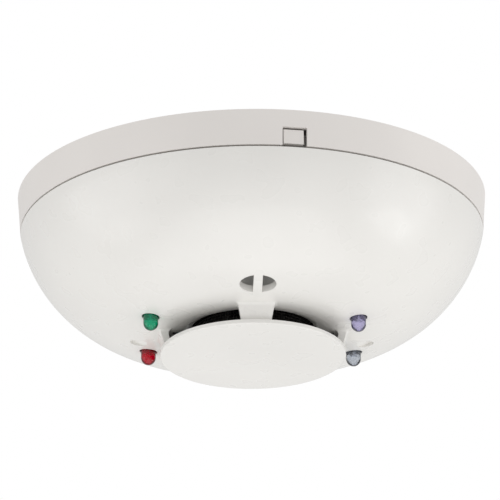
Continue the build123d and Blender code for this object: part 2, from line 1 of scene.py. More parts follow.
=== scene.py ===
"""Ceiling fire detector: finishes, lenses, screen, screws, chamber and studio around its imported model.

Lengths are metres in the model's own frame: the ceiling is at Z = 0 and the detector hangs below it.
"""
import json
from math import cos, pi, radians, sin, tau

import bmesh
import bpy
from bpy.props import FloatProperty, FloatVectorProperty, IntProperty, PointerProperty
from bpy.types import Operator, Panel, PropertyGroup
from mathutils import Matrix, Vector


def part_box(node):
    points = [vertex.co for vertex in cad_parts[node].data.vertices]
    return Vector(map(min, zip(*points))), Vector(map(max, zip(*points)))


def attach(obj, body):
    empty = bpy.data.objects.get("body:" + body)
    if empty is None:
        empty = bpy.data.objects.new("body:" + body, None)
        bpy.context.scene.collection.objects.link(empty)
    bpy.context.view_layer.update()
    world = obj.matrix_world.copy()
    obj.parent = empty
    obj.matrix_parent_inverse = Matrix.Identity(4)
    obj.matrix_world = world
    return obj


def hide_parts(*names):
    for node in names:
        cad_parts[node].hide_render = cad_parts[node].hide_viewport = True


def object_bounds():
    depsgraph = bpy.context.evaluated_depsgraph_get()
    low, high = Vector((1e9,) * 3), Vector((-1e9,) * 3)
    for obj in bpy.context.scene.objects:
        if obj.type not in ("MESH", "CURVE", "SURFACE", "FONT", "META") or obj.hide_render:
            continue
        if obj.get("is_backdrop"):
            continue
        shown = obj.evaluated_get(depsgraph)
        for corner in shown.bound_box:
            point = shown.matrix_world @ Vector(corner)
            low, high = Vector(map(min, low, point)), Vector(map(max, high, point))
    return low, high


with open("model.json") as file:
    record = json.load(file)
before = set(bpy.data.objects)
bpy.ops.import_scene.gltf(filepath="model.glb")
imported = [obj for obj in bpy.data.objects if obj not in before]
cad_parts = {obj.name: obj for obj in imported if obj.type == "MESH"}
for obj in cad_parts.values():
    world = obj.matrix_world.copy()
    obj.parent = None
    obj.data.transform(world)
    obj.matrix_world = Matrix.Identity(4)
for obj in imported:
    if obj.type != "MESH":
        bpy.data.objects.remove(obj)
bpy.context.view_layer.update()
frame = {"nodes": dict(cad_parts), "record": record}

bl_info = {
    "name": "Ceiling Fire Detector",
    "version": (1, 0, 0),
    "blender": (4, 5, 0),
    "location": "3D View > Sidebar > Detector",
    "description": "Dresses the packed detector: finishes, lenses, insect screen, screws and studio",
    "category": "Object",
}

MM = 0.001
LENS_PLACES = ("left_front", "left_rear", "right_front", "right_rear")


# ---------------------------------------------------------------- sizes and colours
def length(label, about, value):
    """A size that the user can change, in metres."""
    return FloatProperty(name=label, description=about, default=value, min=0.0, unit="LENGTH", precision=5)


def colour(label, about, value):
    """A colour that the user can change."""
    return FloatVectorProperty(name=label, description=about, default=value, subtype="COLOR", size=3,
                               min=0.0, max=1.0)


class DetectorSizes(PropertyGroup):
    """Sizes of the pieces that are made here."""
    mesh_pitch: length("Mesh pitch", "Distance between two wires of the insect screen", 0.95 * MM)
    mesh_wire: length("Mesh wire", "Diameter of the insect screen's wires", 0.20 * MM)
    lens_draft: length("Lens draft", "How much thinner a lens is at its nose than at its flange", 0.05 * MM)
    lens_ledge: length("Lens ledge", "How far a lens's flange stands out from its body", 0.4 * MM)
    lens_flange: length("Lens flange", "Thickness of a lens's flange", 1.0 * MM)
    lens_flat: length("Lens flat", "Depth of the flat on a lens's flange", 0.38 * MM)
    lead_width: length("Lead width", "Width of a lens's square leads", 0.5 * MM)
    cup_radius: length("Cup radius", "Radius of the reflector cup inside a lens", 0.75 * MM)
    thread_pitch: length("Thread pitch", "Pitch of the terminal screws' thread", 0.7 * MM)
    recess_width: length("Recess width", "Width of one arm of a screw's cross recess", 0.85 * MM)
    vane_count: IntProperty(name="Vanes", description="Vanes in each ring of the labyrinth", default=12,
                            min=3)
    vane_width: length("Vane width", "Thickness of a labyrinth vane", 1.1 * MM)


class DetectorColours(PropertyGroup):
    """Colours of the finishes."""
    cover: colour("Cover", "Off-white plastic of the cover and cap", (0.80, 0.785, 0.755))
    base: colour("Base", "Off-white plastic of the base moulding", (0.80, 0.765, 0.735))
    chassis: colour("Chassis", "Light grey plastic inside the head", (0.60, 0.595, 0.58))
    black: colour("Black", "Black plastic of the sensing chamber", (0.008, 0.0075, 0.007))
    green: colour("Green lens", "Tint of the left front lens", (0.0, 0.50, 0.25))
    red: colour("Red lens", "Tint of the left rear lens", (0.66, 0.0, 0.02))
    violet: colour("Violet lens", "Tint of the right front lens", (0.62, 0.58, 0.90))
    clear: colour("Clear lens", "Tint of the right rear lens", (0.62, 0.67, 0.76))


class DetectorStage(PropertyGroup):
    """Camera, floor and lights."""
    azimuth: FloatProperty(name="Azimuth", description="Camera's turn round the detector, from the front",
                           default=radians(-2.4), subtype="ANGLE")
    elevation: FloatProperty(name="Elevation", description="Camera's height; negative looks up from below",
                             default=radians(-21.45), subtype="ANGLE")
    roll: FloatProperty(name="Roll", description="Camera's turn about its own line of sight",
                        default=radians(-0.54), subtype="ANGLE")
    distance: length("Distance", "Camera to the middle of the detector", 2.235)
    middle_drop: length("Middle drop", "Middle of the detector below the ceiling face", 27.0 * MM)
    aim_above: length("Aim above", "How far above the middle the camera looks", 8.36 * MM)
    aim_left: length("Aim left", "How far to the left of the middle the camera looks", 0.66 * MM)
    focal_length: FloatProperty(name="Focal length", description="Camera's focal length in millimetres",
                                default=487.0, min=1.0)
    floor_drop: length("Floor drop", "Floor below the ceiling face", 4.2)


# ---------------------------------------------------------------- node helpers
class Bench:
    """Adds nodes to one tree and joins them."""
    COLOUR_A, COLOUR_B, COLOUR_RESULT = 6, 7, 2     # the Mix node's colour sockets, which share their names

    def __init__(self, tree):
        self.tree = tree

    def add(self, kind, sockets=None, **settings):
        """A new node with its settings made and its sockets fed with values or links."""
        node = self.tree.nodes.new(kind)
        for key, value in settings.items():
            setattr(node, key, value)
        for socket, value in (sockets or {}).items():
            self.feed(node.inputs[socket], value)
        return node

    def feed(self, socket, value):
        """Links an output to a socket, or sets the socket to a plain value."""
        if isinstance(value, bpy.types.NodeSocket):
            self.tree.links.new(value, socket)
        else:
            socket.default_value = value

    def math(self, operation, first, second=0.0):
        """The result of one sum."""
        kind = "ShaderNodeMath"
        return self.add(kind, {0: first, 1: second}, operation=operation).outputs[0]

    def vector(self, operation, first, second=(0.0, 0.0, 0.0)):
        """The result of one sum on vectors."""
        kind = "ShaderNodeVectorMath"
        return self.add(kind, {0: first, 1: second}, operation=operation).outputs[0]

    def noise(self, place, scale, detail=2.0):
        """Noise from 0 to 1 with this many features in a metre."""
        sockets = {"Vector": place, "Scale": scale, "Detail": detail}
        return self.add("ShaderNodeTexNoise", sockets).outputs["Fac"]

    def spread(self, value, low, high):
        """Stretches the middle of a noise over a range."""
        sockets = {"Value": value, "From Min": 0.25, "From Max": 0.75, "To Min": low, "To Max": high}
        node = self.add("ShaderNodeMapRange", sockets, interpolation_type="SMOOTHSTEP")
        return node.outputs["Result"]

    def blend(self, factor, first, second):
        """Mixes two colours."""
        node = self.add("ShaderNodeMix", {"Factor": factor}, data_type="RGBA")
        self.feed(node.inputs[self.COLOUR_A], first)
        self.feed(node.inputs[self.COLOUR_B], second)
        return node.outputs[self.COLOUR_RESULT]

    def bump(self, height, strength, depth, normal=None):
        """A normal disturbed by a height, on top of another normal if one is given."""
        sockets = {"Height": height, "Strength": strength, "Distance": depth}
        if normal is not None:
            sockets["Normal"] = normal
        return self.add("ShaderNodeBump", sockets).outputs["Normal"]


def opaque(tint, factor=1.0):
    """An RGBA value from a colour, made darker or lighter by a factor."""
    return (*(channel * factor for channel in tint[:3]), 1.0)


def start_material(name):
    """A new material with its bench, shader and object coordinates."""
    material = bpy.data.materials.new(name)
    material.use_nodes = True
    material.node_tree.nodes.clear()
    bench = Bench(material.node_tree)
    shader = bench.add("ShaderNodeBsdfPrincipled")
    output = bench.add("ShaderNodeOutputMaterial")
    material.node_tree.links.new(shader.outputs["BSDF"], output.inputs["Surface"])
    place = bench.add("ShaderNodeTexCoord").outputs["Object"]
    return material, bench, shader, place


def set_shader(shader, **values):
    """Sets constant values on the shader's own sockets; a name's underscores stand for spaces."""
    for key, value in values.items():
        shader.inputs[key.replace("_", " ")].default_value = value


# ---------------------------------------------------------------- finishes
def moulded_plastic(name, tint, low, high, grain=3800.0, grain_depth=0.003 * MM, **shader_values):
    """Moulded plastic: faint cloudy tone, uneven gloss, fine spark grain and slight sink."""
    clouds, gloss_patches, sink_marks = 22.0, 160.0, 45.0       # features in a metre
    material, bench, shader, place = start_material(name)
    tone = bench.spread(bench.noise(place, clouds), 0.0, 1.0)
    bench.feed(shader.inputs["Base Color"], bench.blend(tone, opaque(tint, 0.975), opaque(tint, 1.02)))
    gloss = bench.spread(bench.noise(place, gloss_patches, 1.0), low, high)
    bench.feed(shader.inputs["Roughness"], gloss)
    sink = bench.bump(bench.noise(place, sink_marks, 1.0), 0.15, 0.03 * MM)
    grain_bump = bench.bump(bench.noise(place, grain, 1.0), 0.3, grain_depth, sink)
    bench.feed(shader.inputs["Normal"], grain_bump)
    set_shader(shader, IOR=1.5, **shader_values)
    return material


def cover_finish(colours):
    return moulded_plastic("satin_cover_plastic", colours.cover, 0.26, 0.36, Coat_Weight=0.25,
                           Coat_Roughness=0.22)


def base_finish(colours):
    return moulded_plastic("satin_base_plastic", colours.base, 0.32, 0.44, Coat_Weight=0.1,
                           Coat_Roughness=0.3)


def chassis_finish(colours):
    return moulded_plastic("matt_chassis_plastic", colours.chassis, 0.45, 0.6, grain=2600.0,
                           grain_depth=0.02 * MM)


def chamber_finish(colours):
    return moulded_plastic("matt_black_plastic", colours.black, 0.42, 0.58, grain=2400.0,
                           grain_depth=0.02 * MM)


def moulded_black_finish(_colours):
    return moulded_plastic("moulded_black_epoxy", (0.03, 0.03, 0.032), 0.38, 0.5, grain=5200.0)


def worked_metal(name, tint, low, high, lines, line_scale):
    """Metal with rolling or turning lines along one axis, uneven polish and light tarnish."""
    material, bench, shader, place = start_material(name)
    stretched = bench.vector("MULTIPLY", place, lines)
    streaks = bench.noise(stretched, line_scale, 4.0)
    tarnish = bench.spread(bench.noise(place, 240.0, 3.0), 0.0, 1.0)
    bench.feed(shader.inputs["Base Color"], bench.blend(tarnish, opaque(tint, 0.82), opaque(tint)))
    bench.feed(shader.inputs["Roughness"], bench.spread(streaks, low, high))
    bench.feed(shader.inputs["Normal"], bench.bump(streaks, 0.3, 0.01 * MM))
    set_shader(shader, Metallic=1.0)
    return material


def brass_finish(_colours):
    return worked_metal("rolled_brass", (0.80, 0.60, 0.30), 0.22, 0.38, (1.0, 1.0, 0.06), 3600.0)


def steel_finish(_colours):
    return worked_metal("zinc_plated_steel", (0.66, 0.66, 0.68), 0.24, 0.42, (1.0, 1.0, 0.3), 2200.0)


def aluminium_finish(_colours):
    return worked_metal("drawn_aluminium", (0.78, 0.78, 0.79), 0.26, 0.4, (0.1, 0.1, 1.0), 3000.0)


def screen_finish(_colours):
    """Blackened wire: dark, slightly brown, with lighter worn patches at random."""
    material, bench, shader, place = start_material("blackened_wire")
    wear = bench.spread(bench.noise(place, 900.0, 3.0), 0.0, 1.0)
    dark, worn = (0.010, 0.009, 0.008, 1.0), (0.032, 0.028, 0.024, 1.0)
    bench.feed(shader.inputs["Base Color"], bench.blend(wear, dark, worn))
    bench.feed(shader.inputs["Roughness"], bench.spread(bench.noise(place, 1500.0), 0.35, 0.6))
    bench.feed(shader.inputs["Normal"], bench.bump(bench.noise(place, 6000.0), 0.3, 0.01 * MM))
    set_shader(shader, Metallic=0.4)
    return material


def board_finish(_colours):
    """Green solder mask over copper tracks that show as lighter, slightly raised bands."""
    material, bench, shader, place = start_material("solder_mask_green")
    sockets = {"Vector": place, "Scale": 150.0, "Mortar Size": 0.05, "Mortar Smooth": 0.2,
               "Color1": (1, 1, 1, 1), "Color2": (0.6, 0.6, 0.6, 1), "Mortar": (0, 0, 0, 1)}
    tracks = bench.add("ShaderNodeTexBrick", sockets).outputs["Color"]
    bench.feed(shader.inputs["Base Color"],
               bench.blend(tracks, (0.008, 0.085, 0.035, 1.0), (0.018, 0.17, 0.06, 1.0)))
    bench.feed(shader.inputs["Roughness"], bench.spread(bench.noise(place, 500.0), 0.22, 0.34))
    bench.feed(shader.inputs["Normal"], bench.bump(tracks, 0.4, 0.03 * MM))
    set_shader(shader, Coat_Weight=0.3, Coat_Roughness=0.15)
    return material


def clear_moulding(name, tint, transmission, low, high, **shader_values):
    """Clear or tinted resin with faint flow lines under a polished skin, and a painted shade that darkens its
    colour towards the rim, where the surface turns away from the view.
    """
    material, bench, shader, place = start_material(name)
    flow = bench.spread(bench.noise(place, 420.0, 3.0), 0.0, 1.0)
    body = bench.blend(flow, opaque(tint, 0.9), opaque(tint))
    # Painted shade: the base colour gets darker towards the rim the more the surface turns away from the
    # view; rim below carries this painted rim shade.
    painted_shade_facing = bench.add("ShaderNodeLayerWeight", {"Blend": 0.4}).outputs["Facing"]
    rim = bench.math("POWER", painted_shade_facing, 1.6)
    bench.feed(shader.inputs["Base Color"], bench.blend(rim, body, opaque(tint, 0.06)))
    bench.feed(shader.inputs["Roughness"], bench.spread(bench.noise(place, 900.0), low, high))
    bench.feed(shader.inputs["Normal"], bench.bump(bench.noise(place, 700.0), 0.15, 0.01 * MM))
    set_shader(shader, IOR=1.5, Transmission_Weight=transmission, **shader_values)
    return material


def green_lens_finish(colours):
    return clear_moulding("green_tinted_epoxy", colours.green, 0.75, 0.03, 0.08, Specular_IOR_Level=0.3)


def red_lens_finish(colours):
    return clear_moulding("red_tinted_epoxy", colours.red, 0.75, 0.03, 0.08, Specular_IOR_Level=0.3)


def violet_lens_finish(colours):
    return clear_moulding("violet_tinted_epoxy", colours.violet, 0.9, 0.02, 0.07)


def clear_lens_finish(colours):
    return clear_moulding("clear_epoxy", colours.clear, 0.95, 0.02, 0.06)


def smoked_lens_finish(_colours):
    return clear_moulding("smoked_epoxy", (0.035, 0.02, 0.03), 0.3, 0.05, 0.12)


def glass_finish(_colours):
    return clear_moulding("switch_glass", (0.90, 0.95, 0.93), 0.95, 0.02, 0.05)


def bead_finish(_colours):
    return clear_moulding("thermistor_glass", (0.10, 0.045, 0.02), 0.15, 0.06, 0.16, Coat_Weight=0.5)


FINISH_MAKERS = {
    "cover_plastic": cover_finish,
    "base_plastic": base_finish,
    "chassis_plastic": chassis_finish,
    "chamber_black": chamber_finish,
    "screen_black": screen_finish,
    "contact_brass": brass_finish,
    "screw_steel": steel_finish,
    "board_green": board_finish,
    "chip_black": moulded_black_finish,
    "can_aluminium": aluminium_finish,
    "clear_glass": glass_finish,
    "bead_glass": bead_finish,
    "green_lens": green_lens_finish,
    "red_lens": red_lens_finish,
    "violet_lens": violet_lens_finish,
    "clear_lens": clear_lens_finish,
    "smoked_lens": smoked_lens_finish,
}
finishes = {}


def finish(slot):
    """The material of one of the record's slots, made when it is first asked for."""
    if slot not in finishes:
        finishes[slot] = FINISH_MAKERS[slot](bpy.context.scene.detector_colours)
    return finishes[slot]


def slot_of(node):
    """The record's material slot of a CAD node."""
    for part in frame["record"]["subparts"]:
        if part["node"] == node:
            return part["material_slot"]
    raise KeyError(node)


# ---------------------------------------------------------------- mesh helpers
def mesh_object(name, bm):
    """Turns a bmesh into an object in the scene, at the origin."""
    mesh = bpy.data.meshes.new(name)
    bm.to_mesh(mesh)
    bm.free()
    piece = bpy.data.objects.new(name, mesh)
    bpy.context.scene.collection.objects.link(piece)
    return piece


def smooth(piece, sharp_angle=35.0):
    """Smooth shading with the sharp edges kept."""
    piece.data.shade_smooth()
    piece.data.set_sharp_from_angle(angle=radians(sharp_angle))
    return piece


def add_lathe(bm, outline, centre, segments):
    """Adds the surface that a list of (radius, level) points sweeps round an upright axis.

    The outline starts and ends on the axis or closes on itself, and runs so that faces point outwards.
    """
    on_the_axis = 1e-9
    turns = [tau * k / segments for k in range(segments)]
    rings = []
    for radius, level in outline:
        if radius < on_the_axis:
            rings.append([bm.verts.new((0.0, 0.0, level))])
        else:
            rings.append([bm.verts.new((radius * cos(turn), radius * sin(turn), level)) for turn in turns])
    for lower, upper in zip(rings, rings[1:]):
        for k in range(segments):
            after = (k + 1) % segments
            corners = [lower[k % len(lower)], lower[after % len(lower)],
                       upper[after % len(upper)], upper[k % len(upper)]]
            distinct = list(dict.fromkeys(corners))
            if len(distinct) > 2:
                bm.faces.new(distinct)
    verts = [vert for ring in rings for vert in ring]
    bmesh.ops.translate(bm, vec=Vector(centre), verts=verts)


def arc_points(centre_radius, centre_level, radius, start, end, steps):
    """Points of an arc in the (radius, level) plane, between two angles in degrees."""
    turns = [radians(start + (end - start) * step / steps) for step in range(steps + 1)]
    return [(centre_radius + radius * cos(turn), centre_level + radius * sin(turn)) for turn in turns]


def add_block(bm, size, centre):
    """Adds a block with slightly softened edges."""
    softening = 0.12                                # of the block's shortest side
    made = bmesh.ops.create_cube(bm, size=1.0)["verts"]
    bmesh.ops.scale(bm, vec=Vector(size), verts=made)
    edges = list({edge for vert in made for edge in vert.link_edges})
    bevel = bmesh.ops.bevel(bm, geom=edges, offset=min(size) * softening, segments=2, affect="EDGES",
                            profile=0.5)
    verts = list({vert for face in bevel["faces"] for vert in face.verts})
    island = set(verts)
    stack = list(verts)
    while stack:
        for edge in stack.pop().link_edges:
            for vert in edge.verts:
                if vert not in island:
                    island.add(vert)
                    stack.append(vert)
    bmesh.ops.translate(bm, vec=Vector(centre), verts=list(island))


def add_tube(bm, path, radius, sides=8):
    """Adds a closed round wire along a list of points."""
    points = [Vector(point) for point in path]
    rings = []
    for index, point in enumerate(points):
        before, after = points[max(index - 1, 0)], points[min(index + 1, len(points) - 1)]
        along = (after - before).normalized()
        side = along.orthogonal().normalized() if not rings else (side - along * side.dot(along)).normalized()
        across = along.cross(side)
        spokes = [side * cos(tau * k / sides) + across * sin(tau * k / sides) for k in range(sides)]
        rings.append([bm.verts.new(point + radius * spoke) for spoke in spokes])
    for lower, upper in zip(rings, rings[1:]):
        for k in range(sides):
            after = (k + 1) % sides
            bm.faces.new((lower[k], lower[after], upper[after], upper[k]))
    bm.faces.new(list(reversed(rings[0])))
    bm.faces.new(rings[-1])


def complete(piece, body, slot, *nodes):
    """Gives a finished piece its material, body and slot, and hides the CAD nodes that it stands for."""
    piece.data.materials.clear()
    piece.data.materials.append(finish(slot))
    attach(piece, body)
    if nodes:
        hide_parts(*nodes)
    return piece


def middle(low, high):
    """X and Y of a box's middle."""
    return (low.x + high.x) / 2, (low.y + high.y) / 2


# ---------------------------------------------------------------- geometry node helpers
def new_tree(name, inputs):
    """A geometry tree with named inputs; returns its bench and the outputs of its input node."""
    tree = bpy.data.node_groups.new(name, "GeometryNodeTree")
    tree.interface.new_socket("Geometry", in_out="OUTPUT", socket_type="NodeSocketGeometry")
    for label, kind in inputs.items():
        tree.interface.new_socket(label, in_out="INPUT", socket_type=f"NodeSocket{kind}")
    tree.interface.new_socket("Material", in_out="INPUT", socket_type="NodeSocketMaterial")
    bench = Bench(tree)
    return bench, bench.add("NodeGroupInput").outputs


def close_tree(bench, given, geometry):
    """Ends a tree in real geometry that carries its material."""
    real = bench.add("GeometryNodeRealizeInstances", {"Geometry": geometry}).outputs["Geometry"]
    painted = bench.add("GeometryNodeSetMaterial", {"Geometry": real, "Material": given["Material"]})
    bench.add("NodeGroupOutput", {"Geometry": painted.outputs["Geometry"]})
    return bench.tree


def stacked_points(bench, count):
    """This many points, all at the origin until they are moved."""
    return bench.add("GeometryNodeMeshLine", {"Count": count, "Offset": (0.0, 0.0, 0.0)}).outputs[0]


def grow(name, tree, values):
    """Runs a tree with these values and keeps the result as a plain mesh."""
    piece = bpy.data.objects.new(name, bpy.data.meshes.new(name))
    bpy.context.scene.collection.objects.link(piece)
    modifier = piece.modifiers.new(tree.name, "NODES")
    modifier.node_group = tree
    for item in tree.interface.items_tree:
        if item.item_type == "SOCKET" and item.in_out == "INPUT":
            modifier[item.identifier] = values[item.name]
    bpy.context.view_layer.update()
    evaluated = piece.evaluated_get(bpy.context.evaluated_depsgraph_get())
    plain = bpy.data.meshes.new_from_object(evaluated)
    piece.modifiers.remove(modifier)
    piece.data = plain
    return piece


# ---------------------------------------------------------------- insect screen
def weave(bench, given, curves, sign):
    """Pushes wires in and out by turns, so that they pass over and under each other."""
    position = bench.add("GeometryNodeInputPosition").outputs[0]
    parts = bench.add("ShaderNodeSeparateXYZ", {0: position}).outputs
    angle = bench.math("ARCTAN2", parts["Y"], parts["X"])
    columns = bench.math("MULTIPLY", angle, bench.math("DIVIDE", given["Columns"], tau))
    rows = bench.math("DIVIDE", bench.math("SUBTRACT", parts["Z"], given["Bottom"]), given["Row Pitch"])
    phase = bench.math("MULTIPLY", bench.math("ADD", columns, rows), pi)
    reach = bench.math("MULTIPLY", given["Wire Radius"], sign)
    swing = bench.math("MULTIPLY", bench.math("COSINE", phase), reach)
    flat = bench.add("ShaderNodeCombineXYZ", {"X": parts["X"], "Y": parts["Y"]}).outputs[0]
    outward = bench.vector("NORMALIZE", flat)
    offset = bench.add("ShaderNodeVectorMath", {0: outward, "Scale": swing}, operation="SCALE").outputs[0]
    moved = bench.add("GeometryNodeSetPosition", {"Geometry": curves, "Offset": offset}).outputs[0]
    wire_sides = 5
    section = bench.add("GeometryNodeCurvePrimitiveCircle",
                        {"Resolution": wire_sides, "Radius": given["Wire Radius"]})
    return bench.add("GeometryNodeCurveToMesh", {"Curve": moved, "Profile Curve": section.outputs["Curve"],
                                                 "Fill Caps": True}).outputs[0]


def screen_tree():
    """Woven wire round a cylinder: hoops at each row and uprights at each column."""
    bench, given = new_tree("woven_screen", {
        "Radius": "Float", "Bottom": "Float", "Top": "Float", "Columns": "Int", "Rows": "Int",
        "Row Pitch": "Float", "Wire Radius": "Float"})
    half_steps = bench.math("MULTIPLY", given["Columns"], 2.0)
    hoop = bench.add("GeometryNodeCurvePrimitiveCircle",
                     {"Resolution": half_steps, "Radius": given["Radius"]})
    start = bench.add("ShaderNodeCombineXYZ", {"Z": given["Bottom"]}).outputs[0]
    step = bench.add("ShaderNodeCombineXYZ", {"Z": given["Row Pitch"]}).outputs[0]
    levels = bench.add("GeometryNodeMeshLine", {"Count": bench.math("ADD", given["Rows"], 1.0),
                                                "Start Location": start, "Offset": step}).outputs[0]
    hoops = bench.add("GeometryNodeInstanceOnPoints", {"Points": levels, "Instance": hoop.outputs["Curve"]})
    hoops = bench.add("GeometryNodeRealizeInstances", {"Geometry": hoops.outputs[0]}).outputs[0]

    foot = bench.add("ShaderNodeCombineXYZ", {"X": given["Radius"], "Z": given["Bottom"]}).outputs[0]
    head = bench.add("ShaderNodeCombineXYZ", {"X": given["Radius"], "Z": given["Top"]}).outputs[0]
    upright = bench.add("GeometryNodeCurvePrimitiveLine", {"Start": foot, "End": head}).outputs[0]
    count = bench.math("ADD", bench.math("MULTIPLY", given["Rows"], 2.0), 1.0)
    upright = bench.add("GeometryNodeResampleCurve", {"Curve": upright, "Count": count}).outputs[0]
    stations = stacked_points(bench, given["Columns"])
    index = bench.add("GeometryNodeInputIndex").outputs[0]
    turn = bench.math("MULTIPLY", index, bench.math("DIVIDE", tau, given["Columns"]))
    rotation = bench.add("ShaderNodeCombineXYZ", {"Z": turn}).outputs[0]
    uprights = bench.add("GeometryNodeInstanceOnPoints", {"Points": stations, "Instance": upright,
                                                          "Rotation": rotation}).outputs[0]
    uprights = bench.add("GeometryNodeRealizeInstances", {"Geometry": uprights}).outputs[0]

    joined = bench.add("GeometryNodeJoinGeometry")
    for wires, sign in ((hoops, 1.0), (uprights, -1.0)):
        bench.tree.links.new(weave(bench, given, wires, sign), joined.inputs[0])
    return close_tree(bench, given, joined.outputs[0])


class DETECTOR_OT_insect_screen(Operator):
    """Weaves the fine wire screen that stands round the sensing chamber"""
    bl_idname = "detector.insect_screen"
    bl_label = "Insect Screen"

    def execute(self, context):
        sizes = context.scene.detector_sizes
        low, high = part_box("insect_screen")
        wire = sizes.mesh_wire / 2
        radius = high.x - 2 * wire                  # room for a wire that passes over another
        bottom, top = low.z + wire, high.z - wire
        columns = 2 * round(pi * radius / sizes.mesh_pitch)
        rows = round((top - bottom) / sizes.mesh_pitch)
        piece = grow("woven_screen", screen_tree(), {
            "Radius": radius, "Bottom": bottom, "Top": top, "Columns": columns, "Rows": rows,
            "Row Pitch": (top - bottom) / rows, "Wire Radius": wire, "Material": finish("screen_black")})
        smooth(piece, 60.0)
        complete(piece, "head", "screen_black", "insect_screen")
        return {"FINISHED"}


# ---------------------------------------------------------------- lenses
LENS_SLOTS = {"left_front": "green_lens", "left_rear": "red_lens",
              "right_front": "violet_lens", "right_rear": "clear_lens"}


def lens_body(name, centre, tip, top, nose_radius, flange_radius, sizes):
    """Round-nosed resin body with a flanged rim that has a flat on one side."""
    flange = sizes.lens_flange
    shoulder = tip + nose_radius
    wall = nose_radius + sizes.lens_draft
    soft = 0.12 * MM
    outline = arc_points(0.0, shoulder, nose_radius, -90.0, 0.0, 14)
    outline += [(wall, top - flange - soft), (wall + soft, top - flange)]
    outline += arc_points(flange_radius - soft, top - flange + soft, soft, -90.0, 0.0, 3)
    outline += arc_points(flange_radius - soft, top - soft, soft, 0.0, 90.0, 3)
    outline += [(wall * 0.9, top - 0.1 * MM), (0.0, top - 0.15 * MM)]
    bm = bmesh.new()
    add_lathe(bm, outline, (0.0, 0.0, 0.0), 56)
    reach = flange_radius - sizes.lens_flat
    for vert in bm.verts:
        vert.co.y = min(vert.co.y, reach)
    bmesh.ops.translate(bm, vec=Vector((*centre, 0.0)), verts=bm.verts)
    bmesh.ops.recalc_face_normals(bm, faces=bm.faces)
    return smooth(mesh_object(name, bm), 30.0)


def lens_frame(name, centre, tip, top, board, sizes):
    """Lead frame in a lens: two square leads, the cup's anvil, the wire post and the bond wire."""
    x, y = centre
    lead = sizes.lead_width
    lead_offset, lead_bite = 1.27 * MM, 1.2 * MM
    cup_level, cup_y = tip + 3.1 * MM, y - 0.3 * MM
    bm = bmesh.new()
    for side in (-1, 1):
        size = (lead, lead, board - top + lead_bite)
        add_block(bm, size, (x, y + side * lead_offset, (board + top - lead_bite) / 2))
    anvil_width, anvil_y, anvil_level = 1.7 * MM, y - 0.55 * MM, cup_level + 0.5 * MM
    anvil_height = top - 1.0 * MM - cup_level
    add_block(bm, (lead, anvil_width, anvil_height), (x, anvil_y, anvil_level + anvil_height / 2))
    post_width, post_y, post_level = 0.7 * MM, y + 1.1 * MM, cup_level + 0.9 * MM
    post_height = anvil_height - 0.4 * MM
    add_block(bm, (lead, post_width, post_height), (x, post_y, post_level + post_height / 2))
    cup, rim = sizes.cup_radius, 0.12 * MM
    cup_floor, cup_back = cup_level + 0.35 * MM, cup_level + 0.7 * MM
    cup_outline = [(0.0, cup_floor), (cup * 0.55, cup_floor), (cup, cup_level), (cup + rim, cup_level),
                   (cup + rim, cup_back), (0.0, cup_back)]
    add_lathe(bm, cup_outline, (x, cup_y, 0.0), 28)
    chip_width, chip_height = 0.32 * MM, 0.14 * MM
    add_block(bm, (chip_width, chip_width, chip_height), (x, cup_y, cup_level + 0.30 * MM))
    add_tube(bm, bond_wire(x, cup_y, cup_level + 0.25 * MM), 0.03 * MM, 6)
    bmesh.ops.recalc_face_normals(bm, faces=bm.faces)
    return smooth(mesh_object(name, bm), 30.0)


def bond_wire(x, start_y, start_level, steps=8):
    """Points of the fine wire that loops from the chip over to the wire post."""
    span, loop, rise, lean = 1.3 * MM, 0.7 * MM, 0.7 * MM, 0.35
    points = []
    for share in (k / steps for k in range(steps + 1)):
        bulge = loop * sin(pi * share) * (1 - lean * share)
        points.append((x, start_y + span * share, start_level - bulge + rise * share))
    return points


class DETECTOR_OT_lenses(Operator):
    """Makes the four round-nosed lens packages with their lead frames"""
    bl_idname = "detector.lenses"
    bl_label = "Lens Packages"

    def execute(self, context):
        sizes = context.scene.detector_sizes
        for place in LENS_PLACES:
            node = f"lens_{place}"
            low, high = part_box(node)
            spacer_low, _spacer_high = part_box(f"lens_spacer_{place}")
            centre = middle(low, high)
            flange_radius = (high.x - low.x) / 2
            nose_radius = flange_radius - sizes.lens_ledge - sizes.lens_draft
            top = spacer_low.z
            body = lens_body(f"lens_body_{place}", centre, low.z, top, nose_radius, flange_radius, sizes)
            complete(body, "head", LENS_SLOTS[place], node)
            leads = lens_frame(f"lens_leads_{place}", centre, low.z, top, high.z, sizes)
            complete(leads, "head", "screw_steel")
        return {"FINISHED"}


